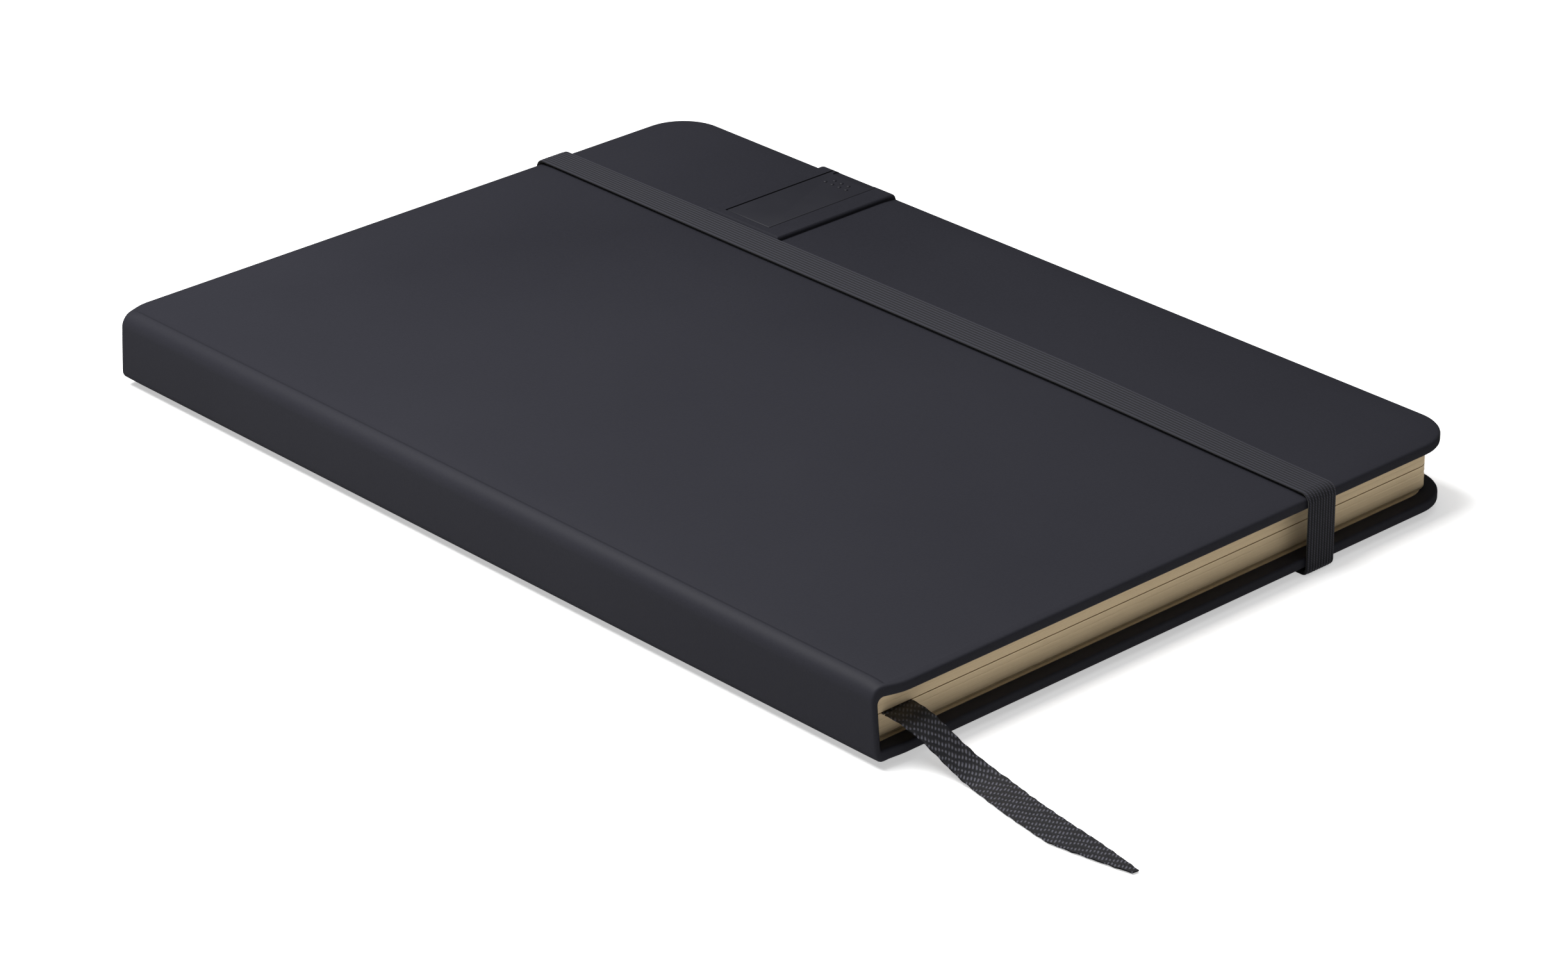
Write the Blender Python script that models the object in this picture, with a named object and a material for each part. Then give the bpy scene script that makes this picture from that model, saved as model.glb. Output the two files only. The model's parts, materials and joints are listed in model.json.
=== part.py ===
"""A5 hard-cover notebook: elastic closure, ribbon marker and a memory stick docked in the front cover.

Frame: metres, +Z up, +X to the fore edge, +Y to the head. The origin is under the middle of the
closed book, on the surface that it lies on. The closure band runs under the back cover, so the
back cover's own underside is one band thickness and one gap above the origin.
"""
import math

import bmesh
import bpy
from mathutils import Matrix, Vector

MM = 0.001

# Case (the two covers and the spine)
COVER_LENGTH = 210.0 * MM      # head to tail, along Y
COVER_WIDTH = 145.0 * MM       # spine to fore edge, along X
COVER_THICKNESS = 2.4 * MM
SPINE_THICKNESS = 1.2 * MM     # wall of the spine, between the folds
CORNER_RADIUS = 9.5 * MM       # the covers' fore-edge corners in plan
FRONT_FOLD_RADIUS = 3.0 * MM   # outside of the fold between spine and front cover
BACK_FOLD_RADIUS = 2.0 * MM    # outside of the fold between spine and back cover
EDGE_RADIUS = 1.0 * MM         # roll of the covers' outer edges, at most as the cover's thickness lets
SKIN = 0.4 * MM                # soft-touch covering material
TURN_IN = 5.0 * MM             # covering folded over the inside of a cover
FOLD_GAP = 0.3 * MM            # opening between two covering pieces at a fold
BOARD_FROM_FOLD = 0.6 * MM     # from the end of the fold's roll to the board

# Text block
BLOCK_THICKNESS = 9.4 * MM     # between the two covers
SQUARE = 4.0 * MM              # overhang of the covers at head and tail
FORE_SQUARE = 3.0 * MM         # overhang of the covers at the fore edge
BLOCK_CORNER_RADIUS = 3.5 * MM
SECTIONS = 6                   # sewn sections of leaves
SECTIONS_TURNED = 3            # upper ones, which lie on the front cover when the book is open
ENDPAPER = 0.15 * MM
SPINE_LINING = 0.25 * MM       # gauze and paper glued on the back of the sections

# Elastic closure
STRAP_WIDTH = 7.4 * MM
STRAP_THICKNESS = 0.9 * MM
STRAP_FROM_FORE_EDGE = 36.9 * MM   # fore edge of the cover to the middle of the band
STRAP_SLOT_FROM_EDGE = 15.0 * MM   # head or tail edge to the slot in the back cover
STRAP_TAB = 6.0 * MM               # end of the band glued inside the back board

# Ribbon marker
RIBBON_WIDTH = 6.8 * MM
RIBBON_THICKNESS = 0.3 * MM
RIBBON_FROM_SPINE = 7.8 * MM       # outside of the spine to the middle of the ribbon

# Memory stick and its dock in the front cover
STICK_LENGTH = 30.0 * MM
STICK_WIDTH = 12.2 * MM
STICK_THICKNESS = 2.3 * MM
STICK_WALL = 0.5 * MM
STICK_FROM_MIDDLE = 53.0 * MM      # middle of the book to the middle of the stick, along Y
DOCK_RIM_TAIL = 4.6 * MM           # pad beside the stick, on the side of the tail
DOCK_RIM_HEAD = 3.3 * MM           # pad beside the stick, on the side of the head
DOCK_INNER_RIM = 1.6 * MM          # pad behind the stick's inner end
TRAY_WALL = 0.35 * MM
PLUG_LENGTH = 12.0 * MM            # bare contact tongue at the stick's inner end
CIRCUIT_THICKNESS = 0.6 * MM
CHIP_THICKNESS = 0.35 * MM
CHIP_FROM_PLUG = 1.0 * MM          # end of the contact tongue to the controller
CHIP_GAP = 1.5 * MM                # controller to memory chip
CONTROLLER_SIDE = 4.5 * MM
MEMORY_LENGTH = 9.0 * MM
MEMORY_WIDTH = 8.0 * MM
CONTACT_THICKNESS = 0.12 * MM
CONTACT_LENGTH = 7.0 * MM
CONTACT_WIDTH = 1.4 * MM
CONTACT_PITCH = 2.4 * MM
CONTACTS = 4
GRIP_RADIUS = 0.45 * MM
GRIP_RISE = 0.2 * MM
GRIP_ROW_GAP = 1.6 * MM            # between the two rows of grip dots, along X
GRIP_PITCH = 2.0 * MM              # between the dots of a row, along Y
GRIP_FROM_END = 4.8 * MM           # outer row to the stick's outer end

# Clearances
LAYER_GAP = 0.1 * MM               # between glued layers
CLEARANCE = 0.3 * MM               # between pieces that meet or slide
LEAF_GAP = 0.2 * MM                # between the block and a cover

# Heights
BACK_OUTSIDE = STRAP_THICKNESS + CLEARANCE
BACK_INSIDE = BACK_OUTSIDE + COVER_THICKNESS
FRONT_INSIDE = BACK_INSIDE + BLOCK_THICKNESS
FRONT_OUTSIDE = FRONT_INSIDE + COVER_THICKNESS
BLOCK_BOTTOM = BACK_INSIDE + LEAF_GAP
BLOCK_TOP = FRONT_INSIDE - LEAF_GAP
PAGES_BOTTOM = BLOCK_BOTTOM + ENDPAPER + LAYER_GAP
PAGES_TOP = BLOCK_TOP - ENDPAPER - LAYER_GAP
SECTION_PITCH = (PAGES_TOP - PAGES_BOTTOM + LAYER_GAP) / SECTIONS
OPENING_HEIGHT = PAGES_TOP + LAYER_GAP - SECTIONS_TURNED * SECTION_PITCH - LAYER_GAP / 2
TRAY_BOTTOM = FRONT_INSIDE + SKIN + 2 * LAYER_GAP
STICK_BOTTOM = TRAY_BOTTOM + TRAY_WALL + CLEARANCE / 2
DOCK_TOP = STICK_BOTTOM + STICK_THICKNESS
DOCK_RISE = DOCK_TOP - FRONT_OUTSIDE

# Places across the book
SPINE_OUTSIDE = -COVER_WIDTH / 2
SPINE_INSIDE = SPINE_OUTSIDE + SPINE_THICKNESS
FORE_EDGE = COVER_WIDTH / 2
HEAD = COVER_LENGTH / 2
LINING_BACK = SPINE_INSIDE + LEAF_GAP
BLOCK_BACK = LINING_BACK + SPINE_LINING + LAYER_GAP
BLOCK_FORE = FORE_EDGE - FORE_SQUARE
BLOCK_HEAD = HEAD - SQUARE
STRAP_X = FORE_EDGE - STRAP_FROM_FORE_EDGE
RIBBON_X = SPINE_OUTSIDE + RIBBON_FROM_SPINE
STICK_OUTER = FORE_EDGE
STICK_INNER = STICK_OUTER - STICK_LENGTH
DOCK_INNER = STICK_INNER - CLEARANCE - TRAY_WALL - DOCK_INNER_RIM

# Folds: the covering turns about the middle of each fold's rounded outside
FRONT_FOLD = Vector((SPINE_OUTSIDE + FRONT_FOLD_RADIUS * (1 - math.sqrt(0.5)), 0.0,
                     FRONT_OUTSIDE - FRONT_FOLD_RADIUS * (1 - math.sqrt(0.5))))
BACK_FOLD = Vector((SPINE_OUTSIDE + BACK_FOLD_RADIUS * (1 - math.sqrt(0.5)), 0.0,
                    BACK_OUTSIDE + BACK_FOLD_RADIUS * (1 - math.sqrt(0.5))))
OPENING = Vector(((SPINE_INSIDE + LINING_BACK) / 2 - LEAF_GAP / 4, 0.0, OPENING_HEIGHT))
STRAP_TURN = Vector((STRAP_X, 0.0, (FRONT_OUTSIDE + CLEARANCE + STRAP_THICKNESS) / 2))

# The free ribbon's route from the tail of the block to its tip on the table. Each point is its shift
# along X and its distance from the block, in millimetres, and its share of the height of the exit.
RIBBON_ROUTE = [
    (0.0, 0.4, 1.000), (0.2, 2.6, 0.974), (0.5, 5.0, 0.883), (1.0, 7.6, 0.714),
    (1.6, 10.2, 0.494), (2.2, 12.9, 0.273), (2.6, 15.8, 0.104), (2.6, 19.0, 0.013),
    (1.9, 23.0, 0.000), (1.0, 27.5, 0.000), (0.2, 32.5, 0.000), (-0.6, 38.0, 0.000),
    (-1.3, 43.5, 0.000), (-2.2, 49.0, 0.000), (-3.3, 55.0, 0.000),
]
RIBBON_REST = 0.4 * MM             # middle of the ribbon where it lies on the table
RIBBON_CUT = 17.0 * MM             # length of the slanted cut at the ribbon's tip


def material(name, colour, roughness, metallic=0.0):
    made = bpy.data.materials.new(name)
    made.use_nodes = True
    shader = made.node_tree.nodes["Principled BSDF"]
    shader.inputs["Base Color"].default_value = (*colour, 1.0)
    shader.inputs["Roughness"].default_value = roughness
    shader.inputs["Metallic"].default_value = metallic
    made.diffuse_color = (*colour, 1.0)
    return made


def axis_empty(name, place, parent=None):
    """An empty on a joint's axis; everything that the joint moves hangs on it."""
    empty = bpy.data.objects.new(name, None)
    bpy.context.scene.collection.objects.link(empty)
    empty.empty_display_size = 5 * MM
    empty["place"] = tuple(place)
    empty.parent = parent
    empty.location = Vector(place) - (Vector(parent["place"]) if parent else Vector())
    return empty


def piece(name, bm, look, parent):
    """Turn a bmesh in world coordinates into an object that hangs on its joint's empty."""
    bmesh.ops.recalc_face_normals(bm, faces=bm.faces)
    mesh = bpy.data.meshes.new(name)
    bm.to_mesh(mesh)
    bm.free()
    mesh.materials.append(look)
    mesh.shade_smooth()
    mesh.set_sharp_from_angle(angle=math.radians(35))
    made = bpy.data.objects.new(name, mesh)
    bpy.context.scene.collection.objects.link(made)
    made.parent = parent
    made.location = -Vector(parent["place"])
    return made


def cut(target, name, bm, operation="DIFFERENCE"):
    """Cut a piece with a hidden tool that stays editable beside it."""
    bmesh.ops.recalc_face_normals(bm, faces=bm.faces)
    mesh = bpy.data.meshes.new(name)
    bm.to_mesh(mesh)
    bm.free()
    tool = bpy.data.objects.new(name, mesh)
    bpy.context.scene.collection.objects.link(tool)
    tool.parent = target.parent
    tool.location = target.location
    tool.hide_render = True
    tool.display_type = "WIRE"
    boolean = target.modifiers.new(name, "BOOLEAN")
    boolean.object = tool
    boolean.operation = operation
    boolean.solver = "EXACT"


def prism(points, direction):
    """A flat outline of 3D points, extruded along a vector."""
    bm = bmesh.new()
    face = bm.faces.new([bm.verts.new(p) for p in points])
    grown = bmesh.ops.extrude_face_region(bm, geom=[face])["geom"]
    moved = [v for v in grown if isinstance(v, bmesh.types.BMVert)]
    bmesh.ops.translate(bm, verts=moved, vec=direction)
    return bm


def box(low, high):
    bm = bmesh.new()
    size = Vector(high) - Vector(low)
    middle = (Vector(high) + Vector(low)) / 2
    place = Matrix.Translation(middle) @ Matrix.Diagonal((*size, 1.0))
    bmesh.ops.create_cube(bm, size=1.0, matrix=place)
    return bm


def arc(centre, radius, start, end, steps):
    """Points on an arc, with the angles in degrees."""
    turns = [math.radians(start + (end - start) * k / steps) for k in range(steps + 1)]
    return [(centre[0] + radius * math.cos(t), centre[1] + radius * math.sin(t)) for t in turns]


def slab(back, fore, half_length, radius, low, high):
    """A plate, square at the spine and with round corners at the fore edge."""
    outline = [(back, half_length), (back, -half_length)]
    outline += arc((fore - radius, -half_length + radius), radius, -90, 0, 8)
    outline += arc((fore - radius, half_length - radius), radius, 0, 90, 8)
    return prism([(x, y, low) for x, y in outline], (0, 0, high - low))


def fold_end(radius, side):
    """Half of a fold's profile in X and Z: from its split, round its outside to the flat cover.

    side is 1 for the front cover and -1 for the back cover. The split runs at 45 degrees through
    the middle of the rounded outside, and each piece stays half a gap clear of it.
    """
    outside = FRONT_OUTSIDE if side > 0 else BACK_OUTSIDE
    centre = (SPINE_OUTSIDE + radius, outside - side * radius)
    half_gap = math.degrees(FOLD_GAP / 2 / radius)
    rolled = arc(centre, radius, 135 - half_gap, 90, 5)
    if side < 0:
        rolled = [(x, 2 * centre[1] - z) for x, z in rolled]
    inner_x = SPINE_INSIDE + FOLD_GAP / math.sqrt(2)
    inside = FRONT_INSIDE if side > 0 else BACK_INSIDE
    return [(inner_x, inside)] + rolled


def cover_skin(name, radius, side, look, parent):
    """The covering of one cover: a solid roll at the fold, then a tray turned in over the board.

    Its outside is split beside the band, so that the large flat face is clear of the band.
    """
    outside, inside = (FRONT_OUTSIDE, FRONT_INSIDE) if side > 0 else (BACK_OUTSIDE, BACK_INSIDE)
    beside_band = STRAP_X - STRAP_WIDTH
    profile = fold_end(radius, side)
    profile += [(beside_band, outside), (FORE_EDGE, outside), (FORE_EDGE, inside)]
    bm = prism([(x, -HEAD, z) for x, z in profile], (0, COVER_LENGTH, 0))
    corners = [e for e in bm.edges if all(abs(v.co.x - FORE_EDGE) < MM / 10 for v in e.verts)
               and abs(e.verts[0].co.z - e.verts[1].co.z) > MM]
    bmesh.ops.bevel(bm, geom=corners, offset=CORNER_RADIUS, offset_type="OFFSET", segments=8,
                    profile=0.5, affect="EDGES", material=-1)
    roll_start = SPINE_OUTSIDE + radius - MM / 100
    rim = [e for e in bm.edges
           if e.calc_face_angle(0.0) > math.radians(60)
           and abs(e.verts[0].co.z - e.verts[1].co.z) < MM / 100
           and max(v.co.x for v in e.verts) > roll_start + MM]
    roll = min(EDGE_RADIUS, 0.45 * COVER_THICKNESS)
    bmesh.ops.bevel(bm, geom=rim, offset=roll, offset_type="OFFSET", segments=3,
                    profile=0.5, affect="EDGES", material=-1)
    skin = piece(name, bm, look, parent)
    low, high = board_heights(side)
    back = SPINE_OUTSIDE + radius + BOARD_FROM_FOLD - LAYER_GAP
    cut(skin, name + "_board_space",
        slab(back, FORE_EDGE - SKIN, HEAD - SKIN, CORNER_RADIUS - SKIN,
             low - LAYER_GAP, high + LAYER_GAP))
    window = sorted((outside - side * (COVER_THICKNESS / 2), inside - side * MM))
    cut(skin, name + "_window",
        slab(back + TURN_IN, FORE_EDGE - TURN_IN, HEAD - TURN_IN, CORNER_RADIUS - TURN_IN, *window))
    return skin


def board_heights(side):
    """Lowest and highest of a cover's board, between the covering's outside and its turn-in."""
    if side > 0:
        return FRONT_INSIDE + SKIN + LAYER_GAP, FRONT_OUTSIDE - SKIN - LAYER_GAP
    return BACK_OUTSIDE + SKIN + LAYER_GAP, BACK_INSIDE - SKIN - LAYER_GAP


def cover_board(name, radius, side, look, parent):
    low, high = board_heights(side)
    inset = SKIN + LAYER_GAP
    back = SPINE_OUTSIDE + radius + BOARD_FROM_FOLD
    outline = slab(back, FORE_EDGE - inset, HEAD - inset, CORNER_RADIUS - inset, low, high)
    return piece(name, outline, look, parent)


def pastedown(name, radius, side, look, parent):
    """The endpaper glued inside a cover, flush with the turned-in covering."""
    inset = TURN_IN + CLEARANCE
    back = SPINE_OUTSIDE + radius + BOARD_FROM_FOLD - LAYER_GAP + inset
    low, high = board_heights(side)
    face = low - LAYER_GAP - ENDPAPER if side > 0 else high + LAYER_GAP
    leaf = slab(back, FORE_EDGE - inset, HEAD - inset, CORNER_RADIUS - inset, face, face + ENDPAPER)
    return piece(name, leaf, look, parent)


def spine_skin(look, parent):
    """The covering of the spine, with the rounded outsides of both folds up to their splits."""
    front = fold_arc(FRONT_FOLD_RADIUS, 1)
    back = fold_arc(BACK_FOLD_RADIUS, -1)
    slant = FOLD_GAP / math.sqrt(2)
    profile = front + [(SPINE_INSIDE, FRONT_INSIDE - slant), (SPINE_INSIDE, BACK_INSIDE + slant)]
    profile += list(reversed(back))
    bm = prism([(x, -HEAD, z) for x, z in profile], (0, COVER_LENGTH, 0))
    skin = piece("spine_skin", bm, look, parent)
    (low_x, low_y, low_z), (high_x, high_y, high_z) = spine_board_box()
    cut(skin, "spine_board_space",
        box((low_x - LAYER_GAP, low_y - LAYER_GAP, low_z - LAYER_GAP),
            (high_x + MM, high_y + LAYER_GAP, high_z + LAYER_GAP)))
    return skin


def fold_arc(radius, side):
    """The spine's share of a fold's rounded outside, from the flat of the spine to the split."""
    outside = FRONT_OUTSIDE if side > 0 else BACK_OUTSIDE
    centre_z = outside - side * radius
    half_gap = math.degrees(FOLD_GAP / 2 / radius)
    rolled = arc((SPINE_OUTSIDE + radius, centre_z), radius, 180, 135 + half_gap, 5)
    if side < 0:
        rolled = [(x, 2 * centre_z - z) for x, z in rolled]
    return rolled


def spine_board_box():
    side_room = SKIN + LAYER_GAP
    return ((SPINE_OUTSIDE + side_room, -HEAD + side_room, BACK_INSIDE + BOARD_FROM_FOLD),
            (SPINE_INSIDE, HEAD - side_room, FRONT_INSIDE - BOARD_FROM_FOLD))


def page_block(name, low, high, look, parent):
    leaves = slab(BLOCK_BACK, BLOCK_FORE, BLOCK_HEAD, BLOCK_CORNER_RADIUS, low, high)
    return piece(name, leaves, look, parent)


def sections(look, still, turning):
    """The sewn sections, from the back of the book to the front; the upper ones turn."""
    made = []
    for k in range(SECTIONS):
        low = PAGES_BOTTOM + k * SECTION_PITCH
        high = low + SECTION_PITCH - LAYER_GAP
        body = turning if k >= SECTIONS - SECTIONS_TURNED else still
        made.append(page_block(f"section_{k + 1}", low, high, look, body))
    return made


def spine_linings(look, still, turning):
    halves = (("spine_lining_lower", PAGES_BOTTOM, OPENING_HEIGHT - LAYER_GAP / 2, still),
              ("spine_lining_upper", OPENING_HEIGHT + LAYER_GAP / 2, PAGES_TOP, turning))
    for name, low, high, body in halves:
        strip = box((LINING_BACK, -BLOCK_HEAD, low), (LINING_BACK + SPINE_LINING, BLOCK_HEAD, high))
        piece(name, strip, look, body)


def ribbon_heights():
    top = OPENING_HEIGHT - LAYER_GAP / 2
    return top - RIBBON_THICKNESS, top


def inner_ribbon(look, below, body):
    """The marker between the leaves, in the shallow bed that it presses into the section below."""
    low, high = ribbon_heights()
    half = RIBBON_WIDTH / 2
    strip = box((RIBBON_X - half, -BLOCK_HEAD, low), (RIBBON_X + half, BLOCK_HEAD, high))
    piece("ribbon_inner", strip, look, body)
    bed = half + CLEARANCE / 2
    cut(below, "ribbon_bed", box((RIBBON_X - bed, -HEAD, low - LAYER_GAP),
                                 (RIBBON_X + bed, HEAD, high + MM)))


def smooth_route(points, steps):
    """Points on a Catmull-Rom curve through the route's own points."""
    p = [2 * points[0] - points[1]] + points + [2 * points[-1] - points[-2]]
    route = []
    for k in range(1, len(p) - 2):
        for s in range(steps):
            t = s / steps
            route.append(0.5 * ((2 * p[k]) + (p[k + 1] - p[k - 1]) * t
                                + (2 * p[k - 1] - 5 * p[k] + 4 * p[k + 1] - p[k + 2]) * t * t
                                + (3 * p[k] - p[k - 1] - 3 * p[k + 1] + p[k + 2]) * t ** 3))
    route.append(p[-2])
    return route


def ribbon_tail(look, body):
    """The free end of the marker: a flat strip swept along its route, cut off at a slant."""
    exit_height = sum(ribbon_heights()) / 2
    points = [Vector((RIBBON_X + shift * MM, -BLOCK_HEAD - distance * MM,
                      RIBBON_REST + share * (exit_height - RIBBON_REST)))
              for shift, distance, share in RIBBON_ROUTE]
    route = smooth_route(points, 2)
    bm = bmesh.new()
    rings = []
    left_to_tip = sum((b - a).length for a, b in zip(route, route[1:]))
    for k, point in enumerate(route):
        ahead = (route[min(k + 1, len(route) - 1)] - route[max(k - 1, 0)]).normalized()
        side = ahead.cross(Vector((0, 0, 1))).normalized()
        lift = side.cross(ahead) * (RIBBON_THICKNESS / 2)
        narrowed = min(max(1 - left_to_tip / RIBBON_CUT, 0.0), 0.95)
        edges = (1 - 2 * narrowed) * side * RIBBON_WIDTH / 2, -side * RIBBON_WIDTH / 2
        corners = ((1, -1), (0, -1), (0, 1), (1, 1))
        rings.append([bm.verts.new(point + edges[a] + b * lift) for a, b in corners])
        if k < len(route) - 1:
            left_to_tip -= (route[k + 1] - point).length
    for ring, following in zip(rings, rings[1:]):
        for k in range(4):
            bm.faces.new((ring[k], ring[(k + 1) % 4], following[(k + 1) % 4], following[k]))
    bm.faces.new(rings[0])
    bm.faces.new(rings[-1])
    piece("ribbon_tail", bm, look, body)


def band(name, route, look, body):
    """A length of the elastic: its middle line in Y and Z, thickened and given its width in X."""
    half = STRAP_THICKNESS / 2
    outer, inner = [], []
    for k, (y, z) in enumerate(route):
        before, after = route[max(k - 1, 0)], route[min(k + 1, len(route) - 1)]
        first = Vector((y - before[0], z - before[1])) if k else Vector((after[0] - y, after[1] - z))
        last = Vector((after[0] - y, after[1] - z)) if k < len(route) - 1 else first
        mitre = (first.normalized() + last.normalized()).normalized()
        reach = half / max(mitre.dot(first.normalized()), 0.5)
        normal = Vector((-mitre.y, mitre.x)) * reach
        outer.append((y + normal.x, z + normal.y))
        inner.append((y - normal.x, z - normal.y))
    left = STRAP_X - STRAP_WIDTH / 2
    bm = prism([(left, y, z) for y, z in outer + inner[::-1]], (STRAP_WIDTH, 0, 0))
    return piece(name, bm, look, body)


def strap(look, still, moving):
    """The elastic band: over the front cover, down both ends, and into slots in the back cover."""
    half = STRAP_THICKNESS / 2
    over = FRONT_OUTSIDE + CLEARANCE + half
    beside = HEAD + CLEARANCE + half
    bend = CLEARANCE + half
    slot = HEAD - STRAP_SLOT_FROM_EDGE
    inside = BACK_INSIDE - SKIN - LAYER_GAP - half
    band("strap_front", [(-HEAD, over), (HEAD, over)], look, moving)
    for name, side in (("head", 1), ("tail", -1)):
        turn = arc((HEAD, over - bend), bend, 0, 90 - math.degrees(LAYER_GAP / bend), 5)
        leg = [(beside, half + bend)] + turn
        band(f"strap_{name}_side", [(side * y, z) for y, z in leg], look, still)
        lower = arc((HEAD, half + bend), bend, -math.degrees(LAYER_GAP / bend), -90, 5)
        under = lower + [(slot, half), (slot, inside), (slot - STRAP_TAB, inside)]
        band(f"strap_{name}_anchor", [(side * y, z) for y, z in under], look, still)


def strap_slots(skin, board):
    """Slots for the band's ends: through the back cover's covering, and a bed in its board."""
    half_width = STRAP_WIDTH / 2 + CLEARANCE
    half = STRAP_THICKNESS / 2 + CLEARANCE
    slot = HEAD - STRAP_SLOT_FROM_EDGE
    for name, side in (("head", 1), ("tail", -1)):
        near, far = sorted((side * (slot + half), side * (slot - half)))
        cut(skin, f"slot_{name}", box((STRAP_X - half_width, near, BACK_OUTSIDE - MM),
                                      (STRAP_X + half_width, far, BACK_OUTSIDE + COVER_THICKNESS / 2)))
        near, far = sorted((side * (slot + half), side * (slot - STRAP_TAB - CLEARANCE)))
        cut(board, f"bed_{name}", box((STRAP_X - half_width, near, BACK_OUTSIDE - MM),
                                      (STRAP_X + half_width, far, BACK_INSIDE + MM)))


def stick_span(extra):
    """The stick's lowest and highest Y, widened by a clearance or a wall."""
    half = STICK_WIDTH / 2 + extra
    return STICK_FROM_MIDDLE - half, STICK_FROM_MIDDLE + half


def dock(skin, board, frame_look, tray_look, body):
    """The raised pad and the tray that hold the stick, and the space for them in the cover."""
    room = CLEARANCE + TRAY_WALL
    near, far = stick_span(room + CLEARANCE)
    space_inner = STICK_INNER - room - CLEARANCE
    for target, label in ((skin, "skin_stick_space"), (board, "board_stick_space")):
        cut(target, label, box((space_inner, near, TRAY_BOTTOM - CLEARANCE / 2),
                               (FORE_EDGE + MM, far, FRONT_OUTSIDE + MM)))
    near, far = stick_span(room)
    tray = piece("dock_tray", box((STICK_INNER - room, near, TRAY_BOTTOM),
                                  (FORE_EDGE - SKIN, far, FRONT_OUTSIDE - LAYER_GAP)), tray_look, body)
    near, far = stick_span(CLEARANCE)
    cut(tray, "tray_channel", box((STICK_INNER - CLEARANCE, near, TRAY_BOTTOM + TRAY_WALL),
                                  (FORE_EDGE + MM, far, FRONT_OUTSIDE + MM)))
    near, far = stick_span(CLEARANCE)
    near, far = near - DOCK_RIM_TAIL, far + DOCK_RIM_HEAD
    bm = box((DOCK_INNER, near, FRONT_OUTSIDE + LAYER_GAP), (FORE_EDGE, far, DOCK_TOP))
    rim = [e for e in bm.edges if all(v.co.z > FRONT_OUTSIDE + DOCK_RISE / 2 for v in e.verts)]
    bmesh.ops.bevel(bm, geom=rim, offset=DOCK_RISE / 2, offset_type="OFFSET", segments=3,
                    profile=0.5, affect="EDGES", material=-1)
    frame = piece("dock_frame", bm, frame_look, body)
    near, far = stick_span(CLEARANCE)
    cut(frame, "frame_opening", box((STICK_INNER - CLEARANCE, near, FRONT_OUTSIDE - MM),
                                    (FORE_EDGE + MM, far, DOCK_TOP + MM)))


def stick(shell_look, circuit_look, chip_look, contact_look, body):
    """The memory stick: an upper shell with a grip, a lower shell, and the circuit between them."""
    near, far = stick_span(0.0)
    upper_bottom = STICK_BOTTOM + STICK_WALL + LAYER_GAP
    upper = piece("stick_upper_shell",
                  box((STICK_INNER, near, upper_bottom), (STICK_OUTER, far, DOCK_TOP)),
                  shell_look, body)
    inner_near, inner_far = near + STICK_WALL, far - STICK_WALL
    cut(upper, "shell_hollow", box((STICK_INNER + STICK_WALL, inner_near, STICK_BOTTOM - MM),
                                   (STICK_OUTER - STICK_WALL, inner_far, DOCK_TOP - STICK_WALL)))
    cut(upper, "grip_dots", grip_dots(), "UNION")
    shell_start = STICK_INNER + PLUG_LENGTH
    lower_top = STICK_BOTTOM + STICK_WALL
    piece("stick_lower_shell", box((shell_start, near, STICK_BOTTOM), (STICK_OUTER, far, lower_top)),
          shell_look, body)
    circuit_top = DOCK_TOP - STICK_WALL - LAYER_GAP
    circuit_bottom = circuit_top - CIRCUIT_THICKNESS
    room = STICK_WALL + LAYER_GAP
    circuit = box((STICK_INNER + room, near + room, circuit_bottom),
                  (STICK_OUTER - room, far - room, circuit_top))
    piece("stick_circuit_board", circuit, circuit_look, body)
    chip_top = circuit_bottom - LAYER_GAP
    chip_bottom = chip_top - CHIP_THICKNESS
    memory_start = CHIP_FROM_PLUG + CONTROLLER_SIDE + CHIP_GAP
    chips = (("stick_controller_chip", CHIP_FROM_PLUG, CONTROLLER_SIDE, CONTROLLER_SIDE),
             ("stick_memory_chip", memory_start, MEMORY_LENGTH, MEMORY_WIDTH))
    for name, start, length, width in chips:
        low_x = shell_start + start
        piece(name, box((low_x, STICK_FROM_MIDDLE - width / 2, chip_bottom),
                        (low_x + length, STICK_FROM_MIDDLE + width / 2, chip_top)), chip_look, body)
    contact_top = circuit_bottom - LAYER_GAP / 2
    contact_start = STICK_INNER + STICK_WALL + 2 * LAYER_GAP + MM
    for k in range(CONTACTS):
        middle = STICK_FROM_MIDDLE + (k - (CONTACTS - 1) / 2) * CONTACT_PITCH
        low = (contact_start, middle - CONTACT_WIDTH / 2, contact_top - CONTACT_THICKNESS)
        high = (contact_start + CONTACT_LENGTH, middle + CONTACT_WIDTH / 2, contact_top)
        piece(f"stick_contact_{k + 1}", box(low, high), contact_look, body)


def grip_dots():
    """Two staggered rows of low studs near the stick's outer end: four, then three."""
    bm = bmesh.new()
    for row, count in ((1, 4), (0, 3)):
        x = STICK_OUTER - GRIP_FROM_END - row * GRIP_ROW_GAP
        for k in range(count):
            y = STICK_FROM_MIDDLE + (k - (count - 1) / 2) * GRIP_PITCH
            place = Matrix.Translation((x, y, DOCK_TOP))
            bmesh.ops.create_cone(bm, cap_ends=True, segments=12, radius1=GRIP_RADIUS,
                                  radius2=GRIP_RADIUS, depth=2 * GRIP_RISE, matrix=place)
    return bm


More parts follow.
